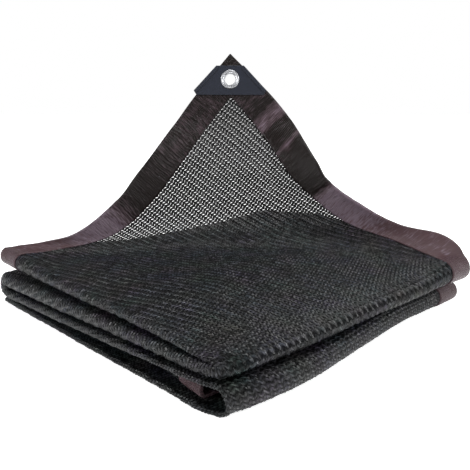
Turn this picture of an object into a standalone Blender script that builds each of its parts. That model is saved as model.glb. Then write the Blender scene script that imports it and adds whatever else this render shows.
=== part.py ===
# Folded shade cloth with one bound corner lifted on its clip and grommet
#
# A knitted net, bound all round with tape, is doubled over along its left front side and
# then folded back and forth in five layers, the last one tucked into the lowest fold.
# The loose corner of the top sheet stands up behind the middle of the packet.
# World frame: +X right, +Y to the back corner, +Z up, metres, the packet on Z = 0.

import math

import bmesh
import bpy
from mathutils import Matrix, Vector

# Driving dimensions
SIDE = 0.350            # side of the square packet
NET_THICK = 0.0012
TAPE_WIDTH = 0.034      # binding, seen width on each face
TAPE_LEAF = 0.0006      # thickness of one leaf of the binding
FIT_GAP = 0.0003        # between pieces that touch
NOSE = 0.9              # roundness of the doubled edge, 1 is a half circle
BULGE = 1.0             # roundness of the turns on the front right and back left
BACK_SKEW = 0.040       # how far the lower sheets' back corner leans to the right
TURN_EASE = (0.2, 0.8)  # between these shares of the side a turn goes over to its far inset
TUCK_CLEAR = 0.002      # from where the lowest turn begins to the tucked end
CORNER_PULL = 0.009     # how far the front corner is rounded in, and over what reach
CORNER_FADE = 0.022
LIFT_EASE = 0.030       # over this distance past the diagonal the lift sets in
DROOP_REACH = 0.022     # how far in from the edge a doubled edge hangs down
LEAN_IN = 0.02          # where along front-right a doubled edge's place is read
CENTRE_SHIFT = (0.0018, 0.0005)  # brings the middle of the whole box over the origin

# Height in mm of each sheet's middle over the packet's corners, top sheet first, and
# how much lower its doubled edge hangs at the left corner
SHEETS = (
    # left, front, right, back, droop
    (57.0, 48.5, 51.5, 44.0, 0.0),
    (41.2, 41.5, 39.5, 38.5, 0.0),
    (34.6, 36.3, 33.8, 33.5, 0.0),
    (19.0, 27.6, 25.6, 27.0, 0.0),
    (15.6, 24.0, 21.0, 21.5, 0.0),
    (13.2, 20.5, 17.0, 17.3, 6.2),
    (10.4, 14.6, 13.0, 13.2, 0.0),
    (7.6, 10.0, 9.1, 9.2, 0.0),
    (4.4, 4.6, 5.2, 5.3, 0.0),
    (0.6, 0.6, 0.6, 0.6, 0.0),
)

# Uneven loft of the packet, two waves over its plan
SWELLS = (
    # share of the height, radians per metre along x and y, start of each in radians
    (0.030, 19.0, 15.0, 0.6, -0.4),
    (0.018, 34.0, 28.0, 0.0, 0.9),
)

# The folded layers along the cloth's length: which sheets they hold, and how far in
# from the front left side their doubled edge stops, in mm
LAYERS = (
    # outer sheet, inner sheet, inset at the left, inset at the front
    (0, 1, -4.0, 0.0),
    (3, 2, -10.5, -2.5),
    (4, 5, -9.0, -5.0),
    (9, 8, -6.5, -5.5),
    (6, 7, 38.0, -3.0),
)

# The turns between the layers, in turn on the front right and on the back left side:
# how far in from that side each one stops, in mm
TURNS = (
    # inset at the front or left end, inset at the right or back end
    (0.0, 0.0),
    (0.0, 0.0),
    (-7.0, 12.0),
    (0.0, 0.0),
)

# The lifted corner, a row for each distance past the left-right diagonal, in mm
LIFT = (
    # past, left edge x y z, middle x y z, right edge x y z
    (0.0, -247.5, 0, 57.0, 0, 0, 47.8, 247.5, 0, 51.5),
    (30.0, -209, 5, 63.5, 0, 30, 50, 219, 7, 75),
    (60.0, -169, 14, 72.5, -1, 53, 66, 173, 17, 83.5),
    (100.0, -126, 32, 105.5, -3, 64, 106, 126, 30, 107.5),
    (126.0, -107, 45, 132, -4, 69, 133, 98.5, 41, 128),
    (140.0, -96.5, 54, 147, -5, 72, 148, 88.5, 50, 146),
    (175.0, -71, 82, 183, -6, 82, 186, 63, 82, 185),
    (200.0, -51, 85, 210.5, -6.5, 85.2, 213, 40.8, 85, 213),
    (247.5, -8, 90, 261, -8, 90, 261, -8, 90, 261),
)

# Corner clip, measured down from the cloth's tip along its face
CLIP_TOP = 0.0134
CLIP_WIDEST = 0.0405
CLIP_BOTTOM = 0.0455
CLIP_TOP_WIDTH = 0.031
CLIP_WIDTH = 0.082
CLIP_BOTTOM_WIDTH = 0.076
CLIP_PLATE = 0.0022
CLIP_RIM_WIDTH = 0.0034
CLIP_RIM_HEIGHT = 0.0010
CLIP_RIM_SETBACK = 0.0006   # from the ends of the slanted sides, and its root in the plate
GROMMET_DROP = 0.0284   # its centre below the tip
GROMMET_HOLE = 0.0061   # radii
GROMMET_BARREL = 0.0067
GROMMET_FLANGE = 0.0110
GROMMET_STEPS = 32

HALF_DIAGONAL = SIDE / math.sqrt(2)
NET_HALF = NET_THICK / 2
LEAF_INNER = NET_HALF + FIT_GAP
LEAF_OUTER = LEAF_INNER + TAPE_LEAF
TAPE_EDGE = 0.0008
NET_EDGE = TAPE_EDGE + FIT_GAP
RIDE_REACH = 0.009      # over this distance the lowest sheet rides up onto its binding
EDGE_EASE = 0.92        # how much sooner the lifted sheet's edges rise than its middle
SPANS = 2 * len(LAYERS) - 1
PROBE = 0.004           # step along the cloth for its slope
TURN_STEPS = 6
LAYER_STEPS = 6
TOP_STEPS = 14
OUTER_STEPS = 9
EDGE_STEPS = 5
INNER_STEPS = 5
CUTTER_DEPTH = 0.030
WELD = 0.00001
MM = 0.001

for leftover in list(bpy.data.objects):
    bpy.data.objects.remove(leftover, do_unlink=True)

packet = bpy.data.collections.new("shade_cloth")
bpy.context.scene.collection.children.link(packet)
cutters = bpy.data.collections.new("cutters")
bpy.context.scene.collection.children.link(cutters)


def finish(name, color, roughness, metallic=0.0):
    material = bpy.data.materials.new(name)
    material.use_nodes = True
    shader = material.node_tree.nodes["Principled BSDF"]
    shader.inputs["Base Color"].default_value = (*color, 1)
    shader.inputs["Roughness"].default_value = roughness
    shader.inputs["Metallic"].default_value = metallic
    return material


def add_object(name, mesh, material, collection=packet):
    thing = bpy.data.objects.new(name, mesh)
    collection.objects.link(thing)
    mesh.materials.clear()
    if material:
        mesh.materials.append(material)
    return thing


def smooth_step(x):
    x = min(max(x, 0.0), 1.0)
    return x * x * (3 - 2 * x)


def swell(x, y):
    """Uneven loft at a place, as a share of the height."""
    return sum(share * math.sin(along_x * x + start_x) * math.cos(along_y * y + start_y)
               for share, along_x, along_y, start_x, start_y in SWELLS)


def sheet_height(sheet, u, v):
    """Middle of a sheet over the point u along front-right, v along front-left."""
    left, front, right, back, droop = SHEETS[sheet]
    a = min(max(u / SIDE, 0), 1)
    b = min(max(v / SIDE, 0), 1)
    height = (front * (1 - a) + right * a) * (1 - b) + (left * (1 - a) + back * a) * b
    height -= droop * b * math.exp(-u / DROOP_REACH)
    if sheet == len(SHEETS) - 1:
        # the lowest sheet lies on the floor and rides up a little onto its binding
        rise = smooth_step((u - SIDE + TAPE_WIDTH + RIDE_REACH) / RIDE_REACH)
        return (height + (LEAF_OUTER - NET_HALF) / MM * rise) * MM
    x, y = to_world(u, v)
    bottom = SHEETS[-1][0]
    return (bottom + (height - bottom) * (1 + swell(x, y))) * MM


def to_world(u, v):
    """Plan place of a point, with the front corner pulled in round."""
    pull = CORNER_PULL * math.exp(-math.hypot(u, v) / CORNER_FADE)
    x = (u - v) / math.sqrt(2)
    y = (u + v) / math.sqrt(2) - HALF_DIAGONAL
    return x + CENTRE_SHIFT[0], y + pull + CENTRE_SHIFT[1]


def turn_of(turn, u, sheet_pair):
    """Centre height and signed radius of one sheet's turn between two layers."""
    first, second = sheet_pair
    edge = 0.0 if turn % 2 == 0 else SIDE
    above = sheet_height(first, u, edge)
    below = sheet_height(second, u, edge)
    return (above + below) / 2, (above - below) / 2


def turn_start(turn, u):
    """Where the layers leave off and the turn begins, along front-left."""
    outer = (LAYERS[turn][0], LAYERS[turn + 1][0])
    inner = (LAYERS[turn][1], LAYERS[turn + 1][1])
    widest = max(abs(turn_of(turn, u, outer)[1]), abs(turn_of(turn, u, inner)[1]))
    share = smooth_step((u / SIDE - TURN_EASE[0]) / (TURN_EASE[1] - TURN_EASE[0]))
    near, far = TURNS[turn]
    inset = widest * BULGE + (near + (far - near) * share) * MM
    return inset if turn % 2 == 0 else SIDE - inset


def layer_ends(layer, u):
    start = SIDE if layer == 0 else turn_start(layer - 1, u)
    tucked = layer == len(LAYERS) - 1
    end = turn_start(layer - 2, u) + TUCK_CLEAR if tucked else turn_start(layer, u)
    return start, end


def sheet_point(along, u, side):
    """One sheet (side 0 outer, 1 inner) at `along`: even spans are layers, odd are turns."""
    span = min(int(along), 2 * len(LAYERS) - 2)
    share = along - span
    layer = span // 2
    if span % 2 == 0:
        start, end = layer_ends(layer, u)
        v = start + (end - start) * share
        return v, sheet_height(LAYERS[layer][side], u, v)
    pair = (LAYERS[layer][side], LAYERS[layer + 1][side])
    centre, radius = turn_of(layer, u, pair)
    begin = turn_start(layer, u)
    angle = share * math.pi
    outward = -1 if layer % 2 == 0 else 1
    # heights drift from the layer's own level to the turn's level without a step
    drift = sheet_height(pair[0], u, begin) * (1 - share) + sheet_height(pair[1], u, begin) * share
    level = centre + radius * math.cos(angle)
    ideal = (centre + radius) * (1 - share) + (centre - radius) * share
    return begin + outward * abs(radius) * BULGE * math.sin(angle), level + drift - ideal


def inset_of(along, v):
    """How far in from the front left side the doubled edge of this layer stops."""
    span = min(int(along), 2 * len(LAYERS) - 2)
    layer = span // 2
    share = v / SIDE
    inset = LAYERS[layer][2] * share + LAYERS[layer][3] * (1 - share)
    if span % 2:
        after = LAYERS[layer + 1][2] * share + LAYERS[layer + 1][3] * (1 - share)
        blend = smooth_step(along - span)
        inset = inset * (1 - blend) + after * blend
    return inset * MM


def spline(rows, key, column):
    """Smooth curve through one column of a table at the key in its first column."""
    last = len(rows) - 1
    index = max(i for i in range(last) if rows[i][0] <= key or i == 0)

    def slope(i):
        low, high = max(i - 1, 0), min(i + 1, last)
        return (rows[high][column] - rows[low][column]) / (rows[high][0] - rows[low][0])

    start, end = rows[index], rows[index + 1]
    width = end[0] - start[0]
    t = (key - start[0]) / width
    return ((2 * t ** 3 - 3 * t ** 2 + 1) * start[column] + (t ** 3 - 2 * t ** 2 + t) * width * slope(index)
            + (3 * t ** 2 - 2 * t ** 3) * end[column] + (t ** 3 - t ** 2) * width * slope(index + 1))


def lifted_point(u, v):
    """The top sheet's place where it is drawn up to the lifted corner."""
    across = (u - v) / math.sqrt(2)
    past = (u + v - SIDE) / math.sqrt(2)
    reach = max(HALF_DIAGONAL - past, 1e-6)
    t = min(max(across / reach, -1), 1)
    key = min(max(past / MM, 0), LIFT[-1][0])
    row = [spline(LIFT, key, column) * MM for column in range(1, len(LIFT[0]))]
    left, middle, right = Vector(row[0:3]), Vector(row[3:6]), Vector(row[6:9])
    drawn = middle + (right - left) / 2 * t + ((right + left) / 2 - middle) * t * t
    flat = Vector((*to_world(u, v), sheet_height(0, u, v)))
    shift = Vector((*CENTRE_SHIFT, 0))
    # the edges rise at once, the middle of the row a little later
    ease = LIFT_EASE * (1 - EDGE_EASE * abs(t))
    return flat.lerp(drawn + shift, smooth_step(past / ease))


def cloth_point(along, across):
    """Middle of the cloth. across: 0 to 1 outer sheet, 1 to 2 doubled edge, 2 to 3 inner sheet."""
    inset = inset_of(along, sheet_point(along, LEAN_IN, 0)[0])
    v_out, z_out = sheet_point(along, inset, 0)
    v_in, z_in = sheet_point(along, inset, 1)
    gap = math.hypot(v_out - v_in, z_out - z_in) / 2
    edge = inset + gap * NOSE
    if 1 < across < 2:
        angle = (across - 1) * math.pi
        v_out, z_out = sheet_point(along, edge, 0)
        v_in, z_in = sheet_point(along, edge, 1)
        blend = (1 + math.cos(angle)) / 2
        v = v_out * blend + v_in * (1 - blend)
        z = z_out * blend + z_in * (1 - blend)
        u = edge - gap * NOSE * math.sin(angle)
    else:
        side = 0 if across <= 1 else 1
        share = across if side == 0 else 3 - across
        u = SIDE + (edge - SIDE) * share
        v, z = sheet_point(along, u, side)
        if along <= 1 and side == 0 and u + v > SIDE:
            return lifted_point(u, v)
    x, y = to_world(u, v)
    lean = max((u + v - SIDE) / SIDE, 0)
    return Vector((x + BACK_SKEW * lean * lean, y, z))


def cloth_normal(along, across):
    """Side of the cloth that faces out of the packet on the outer sheet."""
    reach = PROBE / 4 if along == int(along) and 0 < along < SPANS else PROBE
    run = cloth_point(min(along + reach, SPANS), across) - cloth_point(max(along - reach, 0), across)
    turn = cloth_point(along, min(across + PROBE, 3)) - cloth_point(along, max(across - PROBE, 0))
    return turn.cross(run).normalized()


def offset_point(along, across, lift):
    return cloth_point(along, across) + cloth_normal(along, across) * lift


def band_mesh(name, stations):
    """Closed solid from stations, each a list of (outer, inner) pairs of points."""
    mesh = bpy.data.meshes.new(name)
    bm = bmesh.new()
    rows = [[(bm.verts.new(outer), bm.verts.new(inner)) for outer, inner in pairs] for pairs in stations]
    last = len(rows[0]) - 1
    for near, far in zip(rows, rows[1:]):
        for i in range(last):
            bm.faces.new((near[i][0], near[i + 1][0], far[i + 1][0], far[i][0]))
            bm.faces.new((near[i][1], far[i][1], far[i + 1][1], near[i + 1][1]))
        bm.faces.new((near[0][0], far[0][0], far[0][1], near[0][1]))
        bm.faces.new((near[last][0], near[last][1], far[last][1], far[last][0]))
    for row in (rows[0], rows[-1]):
        for i in range(last):
            bm.faces.new((row[i][0], row[i][1], row[i + 1][1], row[i + 1][0]))
    bmesh.ops.recalc_face_normals(bm, faces=bm.faces)
    bmesh.ops.triangulate(bm, faces=bm.faces)
    bm.to_mesh(mesh)
    bm.free()
    return mesh


# Stations along the cloth: its bound start, the five layers with their turns, its bound end
TAPE_SHARE = TAPE_WIDTH / SIDE
NET_SHARE = NET_EDGE / SIDE
TAPE_START = 2.2 * TAPE_EDGE / SIDE   # a binding's first station, clear of the crossing one


def along_stations():
    stations = [NET_SHARE]
    for span in range(SPANS):
        steps = TURN_STEPS if span % 2 else (TOP_STEPS if span == 0 else LAYER_STEPS)
        first = TAPE_SHARE if span == 0 else 0
        reach = 1 - first - (TAPE_SHARE if span == SPANS - 1 else 0)
        stations += [span + first + reach * i / steps for i in range(steps)]
    return stations + [SPANS - TAPE_SHARE, SPANS - NET_SHARE]


def across_stations():
    outer = [TAPE_SHARE + (1 - TAPE_SHARE) * i / OUTER_STEPS for i in range(OUTER_STEPS)]
    edge = [1 + i / EDGE_STEPS for i in range(EDGE_STEPS)]
    inner = [2 + (1 - TAPE_SHARE) * i / INNER_STEPS for i in range(INNER_STEPS + 1)]
    return [NET_SHARE] + outer + edge + inner + [3 - NET_SHARE]


def net_pair(along, across):
    return offset_point(along, across, NET_HALF), offset_point(along, across, -NET_HALF)


def make_net():
    stations = [[net_pair(along, across) for across in across_stations()] for along in along_stations()]
    return add_object("net", band_mesh("net", stations), net_finish)


def mitred(distance):
    """Width of a binding at a distance from a corner, cut back along the mitre."""
    return min(TAPE_SHARE, distance - FIT_GAP / SIDE)


def binding_profile(place, width):
    """Folded tape round an edge; place(inward, lift) gives a point of it."""
    edge = TAPE_EDGE / SIDE
    return [
        (place(width, LEAF_OUTER), place(width, LEAF_INNER)),
        (place(0, LEAF_OUTER), place(edge, LEAF_INNER)),
        (place(0, -LEAF_OUTER), place(edge, -LEAF_INNER)),
        (place(width, -LEAF_OUTER), place(width, -LEAF_INNER)),
    ]


def make_side_binding(name, inner_sheet):
    stations = []
    for along in [TAPE_START] + along_stations()[1:-1] + [SPANS - TAPE_START]:
        width = mitred(min(along, SPANS - along))

        def place(inward, lift, along=along):
            return offset_point(along, 3 - inward if inner_sheet else inward, lift)

        stations.append(binding_profile(place, width))
    return add_object(name, band_mesh(name, stations), tape_finish)


def make_end_binding(name, at_start):
    stations = []
    for across in [TAPE_START] + across_stations()[1:-1] + [3 - TAPE_START]:
        width = mitred(min(across, 3 - across))

        def place(inward, lift, across=across):
            return offset_point(inward if at_start else SPANS - inward, across, lift)

        stations.append(binding_profile(place, width))
    return add_object(name, band_mesh(name, stations), tape_finish)


# Local frame of the lifted tip: right along the face, up the face, and out of its front
tip = Vector(LIFT[-1][1:4]) * MM + Vector((*CENTRE_SHIFT, 0))
below_clip = Vector(LIFT[-2][4:7]) * MM + Vector((*CENTRE_SHIFT, 0))
face_right = Vector((1, 0, 0))
face_up = Vector((0, tip.y - below_clip.y, tip.z - below_clip.z)).normalized()
tip_frame = Matrix((face_right, face_up, face_right.cross(face_up))).transposed().to_4x4()
tip_frame.translation = tip


def plate(name, outline, low, high, material, collection=packet):
    """Flat piece of the clip between two levels, its outline measured down from the tip."""
    curve = bpy.data.curves.new(name, "CURVE")
    curve.dimensions = "2D"
    curve.fill_mode = "BOTH"
    curve.extrude = (high - low) / 2
    line = curve.splines.new("POLY")
    line.points.add(len(outline) - 1)
    for point, (x, y) in zip(line.points, outline):
        point.co = (x, -y, 0, 1)
    line.use_cyclic_u = True
    shape = bpy.data.objects.new(name + "_outline", curve)
    collection.objects.link(shape)
    bpy.context.view_layer.update()
    depsgraph = bpy.context.evaluated_depsgraph_get()
    mesh = bpy.data.meshes.new_from_object(shape.evaluated_get(depsgraph))
    bpy.data.objects.remove(shape)
    bm = bmesh.new()
    bm.from_mesh(mesh)
    bmesh.ops.remove_doubles(bm, verts=bm.verts, dist=WELD)
    bm.transform(tip_frame @ Matrix.Translation((0, 0, (high + low) / 2)))
    bmesh.ops.recalc_face_normals(bm, faces=bm.faces)
    bm.to_mesh(mesh)
    bm.free()
    return add_object(name, mesh, material, collection)


def hide_guide(thing):
    thing.hide_render = True
    thing.display_type = "WIRE"
    return thing


def barrel_cutter():
    radius = GROMMET_BARREL + FIT_GAP
    bpy.ops.mesh.primitive_cylinder_add(vertices=GROMMET_STEPS, radius=radius, depth=CUTTER_DEPTH)
    cutter = bpy.context.object
    cutter.name = "barrel_cutter"
    for owner in list(cutter.users_collection):
        owner.objects.unlink(cutter)
    cutters.objects.link(cutter)
    cutter.data.transform(tip_frame @ Matrix.Translation((0, -GROMMET_DROP, 0)))
    return hide_guide(cutter)


def boolean(thing, other, operation):
    modifier = thing.modifiers.new(operation.lower(), "BOOLEAN")
    modifier.object = other
    modifier.operation = operation
    modifier.solver = "EXACT"


def make_clip_shell(name, front):
    """Plate over one face of the corner, with a raised rim along each slanted side."""
    top, wide, low = CLIP_TOP_WIDTH / 2, CLIP_WIDTH / 2, CLIP_BOTTOM_WIDTH / 2
    outline = [(-top, CLIP_TOP), (top, CLIP_TOP), (wide, CLIP_WIDEST), (low, CLIP_BOTTOM),
               (-low, CLIP_BOTTOM), (-wide, CLIP_WIDEST)]
    sign = 1 if front else -1
    inside = sign * (LEAF_OUTER + FIT_GAP)
    outside = inside + sign * CLIP_PLATE
    shell = plate(name, outline, min(inside, outside), max(inside, outside), clip_finish)
    slant = Vector((wide - top, CLIP_WIDEST - CLIP_TOP)).normalized()
    inward = Vector((-slant.y, slant.x)) * CLIP_RIM_WIDTH
    for side in (-1, 1):
        setback = slant * CLIP_RIM_SETBACK
        ends = [Vector((top, CLIP_TOP)) + setback, Vector((wide, CLIP_WIDEST)) - setback]
        rim = ends + [ends[1] + inward, ends[0] + inward]
        rim = [(side * point.x, point.y) for point in rim]
        low_level, high_level = sorted((outside - sign * CLIP_RIM_SETBACK, outside + sign * CLIP_RIM_HEIGHT))
        bar = plate(f"{name}_rim_{side}", rim, low_level, high_level, None, cutters)
        boolean(shell, hide_guide(bar), "UNION")
    boolean(shell, barrel, "DIFFERENCE")
    return shell


def turned(name, profile, material):
    """Round piece about the grommet's axis from a closed profile of (radius, level)."""
    mesh = bpy.data.meshes.new(name)
    corners = [(radius, 0, level) for radius, level in profile]
    edges = [(i, (i + 1) % len(corners)) for i in range(len(corners))]
    mesh.from_pydata(corners, edges, [])
    thing = add_object(name, mesh, material)
    thing.matrix_world = tip_frame @ Matrix.Translation((0, -GROMMET_DROP, 0))
    screw = thing.modifiers.new("turn", "SCREW")
    screw.steps = GROMMET_STEPS
    screw.render_steps = GROMMET_STEPS
    screw.use_merge_vertices = True
    screw.merge_threshold = WELD
    return thing


def make_grommet():
    seat = LEAF_OUTER + FIT_GAP + CLIP_PLATE + FIT_GAP
    hole, barrel_side, flange = GROMMET_HOLE, GROMMET_BARREL, GROMMET_FLANGE
    washer_side = barrel_side + FIT_GAP
    turned("grommet_eyelet", [
        (hole, seat + 0.0010),
        (hole + 0.0012, seat + 0.0016),
        (flange - 0.0014, seat + 0.0012),
        (flange, seat),
        (barrel_side, seat),
        (barrel_side, -seat - 0.0013),
        (barrel_side + 0.0016, -seat - 0.0013),
        (barrel_side + 0.0014, -seat - 0.0021),
        (hole + 0.0006, -seat - 0.0023),
        (hole, -seat - 0.0012),
    ], steel_finish)
    turned("grommet_washer", [
        (washer_side, -seat),
        (flange, -seat),
        (flange - 0.0010, -seat - 0.0010),
        (washer_side, -seat - 0.0010),
    ], steel_finish)


net_finish = finish("net", (0.012, 0.013, 0.014), 0.62)
tape_finish = finish("binding_tape", (0.050, 0.026, 0.027), 0.45)
clip_finish = finish("clip_plastic", (0.020, 0.024, 0.032), 0.42)
steel_finish = finish("grommet_metal", (0.80, 0.80, 0.82), 0.25, 1.0)

barrel = barrel_cutter()
net = make_net()
side_outer = make_side_binding("binding_side_outer", False)
side_inner = make_side_binding("binding_side_inner", True)
end_lifted = make_end_binding("binding_end_lifted", True)
end_tucked = make_end_binding("binding_end_tucked", False)
for pierced in (net, side_outer, end_lifted):
    boolean(pierced, barrel, "DIFFERENCE")
make_clip_shell("clip_front", True)
make_clip_shell("clip_back", False)
make_grommet()
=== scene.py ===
import math

import bmesh
import bpy
import numpy as np
from mathutils import Matrix, Vector


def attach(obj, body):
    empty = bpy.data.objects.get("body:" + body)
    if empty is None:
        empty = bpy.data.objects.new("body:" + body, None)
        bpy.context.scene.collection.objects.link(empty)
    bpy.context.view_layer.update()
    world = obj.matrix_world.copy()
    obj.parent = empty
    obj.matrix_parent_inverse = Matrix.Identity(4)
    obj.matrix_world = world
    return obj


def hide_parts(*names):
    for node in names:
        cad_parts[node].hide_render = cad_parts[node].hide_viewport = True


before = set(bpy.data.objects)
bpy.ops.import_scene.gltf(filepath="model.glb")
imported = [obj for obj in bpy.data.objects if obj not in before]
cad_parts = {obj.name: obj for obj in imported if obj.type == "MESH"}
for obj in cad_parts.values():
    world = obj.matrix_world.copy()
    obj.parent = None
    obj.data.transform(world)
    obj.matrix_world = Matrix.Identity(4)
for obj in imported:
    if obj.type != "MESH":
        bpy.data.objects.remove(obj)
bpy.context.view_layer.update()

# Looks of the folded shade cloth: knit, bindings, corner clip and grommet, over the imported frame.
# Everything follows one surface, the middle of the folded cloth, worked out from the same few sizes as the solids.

mm = 0.001
onFloor = 0.0001          # the lowest that anything lies

# The folded packet, as the solids have it
packet = dict(
    side=0.350,              # side of the square packet
    tapeWidth=0.034,         # what the binding covers on each face
    tapeLevel=0.00145,       # face of a tape leaf, from the middle of the net
    nose=0.9,                # roundness of the doubled edge
    backSkew=0.040,          # lean of the lower sheets' back corner
    turnEase=(0.2, 0.8),     # between these shares of the side a turn goes over to its far inset
    tuckClear=0.022,         # from where the lowest turn begins to the tucked end
    cornerPull=0.009,        # rounding of the front corner, and its reach
    cornerFade=0.022,
    liftEase=0.030,          # over this distance past the diagonal the lift sets in
    edgeEase=0.92,           # how much sooner it does at the bound edges
    droopReach=0.022,        # how far in from the edge a doubled edge hangs down
    leanIn=0.02,             # where along the front right a doubled edge's place is read
    rideReach=0.009,
    rideUp=0.0009,           # the lowest sheet rides up this much onto its binding
    centreShift=(0.0018, 0.0005),    # brings the middle of the whole box over the origin
    spans=9,                 # five layers and the four turns between them
)

# Height in mm of each sheet over the packet's corners: left, front, right, back, droop of its doubled edge
sheetHeights = (
    (57.0, 48.5, 54.0, 44.0, 0.0),
    (41.2, 41.5, 41.0, 38.5, 0.0),
    (34.6, 36.3, 35.0, 33.5, 0.0),
    (19.0, 27.6, 27.0, 27.0, 0.0),
    (15.6, 24.0, 21.0, 21.5, 0.0),
    (13.2, 22.2, 17.0, 17.3, 6.2),
    (10.4, 18.9, 13.0, 13.2, 0.0),
    (7.6, 6.5, 9.1, 9.2, 0.0),
    (4.4, 3.2, 5.2, 5.3, 0.0),
    (0.6, 0.6, 0.6, 0.6, 0.0),
)

# Loft of the packet: share of the height, radians per metre along x and y, where each wave starts
swells = ((0.030, 19.0, 15.0, 0.6, -0.4), (0.018, 34.0, 28.0, 0.0, 0.9))

# Layers: outer sheet, inner sheet, inset of the doubled edge at the left and at the front, in mm
layers = ((0, 1, -4.0, 0.0), (3, 2, -10.5, -2.5), (4, 5, -9.0, -5.0), (9, 8, -6.5, -5.5), (6, 7, 38.0, -3.0))

# Turns between the layers: inset at the near end and at the far end, in mm
turns = ((0.0, 0.0), (0.0, 0.0), (-7.0, 12.0), (0.0, 0.0))

# Lifted corner, in mm: distance past the diagonal, then left edge, middle and right edge x y z
liftRows = np.array((
    (0.0, -247.5, 0, 57.0, 0, 0, 47.8, 247.5, 0, 54.0),
    (30.0, -209, 5, 63.5, 0, 30, 50, 219, 7, 75),
    (60.0, -172, 14, 72.5, -1, 53, 66, 173, 17, 83.5),
    (100.0, -129.5, 32, 105.5, -3, 64, 106, 126, 30, 107.5),
    (126.0, -109.5, 45, 132, -4, 69, 133, 98.5, 41, 128),
    (140.0, -98, 54, 147, -5, 72, 148, 88.5, 50, 146),
    (175.0, -71, 82, 183, -6, 82, 186, 63, 82, 185),
    (200.0, -51, 85, 210.5, -6.5, 85.2, 213, 40.8, 85, 213),
    (247.5, -8, 90, 261, -8, 90, 261, -8, 90, 261),
))

bottomSpan = 6           # the layer that lies on the floor
side = packet["side"]
halfDiagonal = side / math.sqrt(2)


def smoothStep(x):
    x = np.clip(x, 0.0, 1.0)
    return x * x * (3 - 2 * x)


def toPlan(u, v):
    pull = packet["cornerPull"] * np.exp(-np.hypot(u, v) / packet["cornerFade"])
    x = (u - v) / math.sqrt(2) + packet["centreShift"][0]
    y = (u + v) / math.sqrt(2) - halfDiagonal + pull + packet["centreShift"][1]
    return x, y


def sheetHeight(sheet, u, v):
    left, front, right, back, droop = sheetHeights[sheet]
    a = np.clip(u / side, 0, 1)
    b = np.clip(v / side, 0, 1)
    height = (front * (1 - a) + right * a) * (1 - b) + (left * (1 - a) + back * a) * b
    height = height - droop * b * np.exp(-u / packet["droopReach"])
    if sheet == len(sheetHeights) - 1:
        rise = smoothStep((u - side + packet["tapeWidth"] + packet["rideReach"]) / packet["rideReach"])
        return height * mm + packet["rideUp"] * rise
    x, y = toPlan(u, v)
    loft = sum(share * np.sin(kx * x + sx) * np.cos(ky * y + sy) for share, kx, ky, sx, sy in swells)
    bottom = sheetHeights[-1][0]
    return (bottom + (height - bottom) * (1 + loft)) * mm


def turnOf(turn, u, pair):
    edge = 0.0 if turn % 2 == 0 else side
    above = sheetHeight(pair[0], u, edge)
    below = sheetHeight(pair[1], u, edge)
    return (above + below) / 2, (above - below) / 2


def turnStart(turn, u):
    outer = (layers[turn][0], layers[turn + 1][0])
    inner = (layers[turn][1], layers[turn + 1][1])
    widest = np.maximum(np.abs(turnOf(turn, u, outer)[1]), np.abs(turnOf(turn, u, inner)[1]))
    first, last = packet["turnEase"]
    share = smoothStep((u / side - first) / (last - first))
    near, far = turns[turn]
    inset = widest + (near + (far - near) * share) * mm
    return inset if turn % 2 == 0 else side - inset


def layerEnds(layer, u):
    start = side if layer == 0 else turnStart(layer - 1, u)
    tucked = layer == len(layers) - 1
    end = turnStart(layer - 2, u) + packet["tuckClear"] if tucked else turnStart(layer, u)
    return start, end


def sheetPoint(along, u, face):
    span = min(int(along), packet["spans"] - 1)
    share = along - span
    layer = span // 2
    if span % 2 == 0:
        start, end = layerEnds(layer, u)
        v = start + (end - start) * share
        return v, sheetHeight(layers[layer][face], u, v)
    pair = (layers[layer][face], layers[layer + 1][face])
    centre, radius = turnOf(layer, u, pair)
    begin = turnStart(layer, u)
    angle = share * math.pi
    outward = -1 if layer % 2 == 0 else 1
    drift = sheetHeight(pair[0], u, begin) * (1 - share) + sheetHeight(pair[1], u, begin) * share
    level = centre + radius * math.cos(angle)
    ideal = (centre + radius) * (1 - share) + (centre - radius) * share
    return begin + outward * np.abs(radius) * math.sin(angle), level + drift - ideal


def insetOf(along, v):
    span = min(int(along), packet["spans"] - 1)
    layer = span // 2
    share = v / side
    inset = layers[layer][2] * share + layers[layer][3] * (1 - share)
    if span % 2:
        after = layers[layer + 1][2] * share + layers[layer + 1][3] * (1 - share)
        blend = smoothStep(along - span)
        inset = inset * (1 - blend) + after * blend
    return inset * mm


def liftRow(key):
    # left edge, middle and right edge at a distance past the diagonal, on smooth curves through the rows
    past, values = liftRows[:, 0], liftRows[:, 1:]
    index = np.clip(np.searchsorted(past, key, side="right") - 1, 0, len(past) - 2)
    low = np.maximum(np.arange(len(past)) - 1, 0)
    high = np.minimum(np.arange(len(past)) + 1, len(past) - 1)
    slopes = (values[high] - values[low]) / (past[high] - past[low])[:, None]
    width = (past[index + 1] - past[index])[:, None]
    t = (key - past[index])[:, None] / width
    return ((2 * t ** 3 - 3 * t ** 2 + 1) * values[index] + (t ** 3 - 2 * t ** 2 + t) * width * slopes[index]
            + (3 * t ** 2 - 2 * t ** 3) * values[index + 1] + (t ** 3 - t ** 2) * width * slopes[index + 1])


def liftedPoints(u, v):
    across = (u - v) / math.sqrt(2)
    past = (u + v - side) / math.sqrt(2)
    reach = np.maximum(halfDiagonal - past, 1e-6)
    t = np.clip(across / reach, -1, 1)[:, None]
    row = liftRow(np.clip(past / mm, 0, liftRows[-1][0])) * mm
    left, middle, right = row[:, 0:3], row[:, 3:6], row[:, 6:9]
    drawn = middle + (right - left) / 2 * t + ((right + left) / 2 - middle) * t * t
    drawn = drawn + np.array((*packet["centreShift"], 0))
    x, y = toPlan(u, v)
    flat = np.stack([x, y, sheetHeight(0, u, v)], axis=1)
    ease = packet["liftEase"] * (1 - packet["edgeEase"] * np.abs(t[:, 0]))
    share = smoothStep(past / ease)[:, None]
    return flat * (1 - share) + drawn * share


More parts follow.
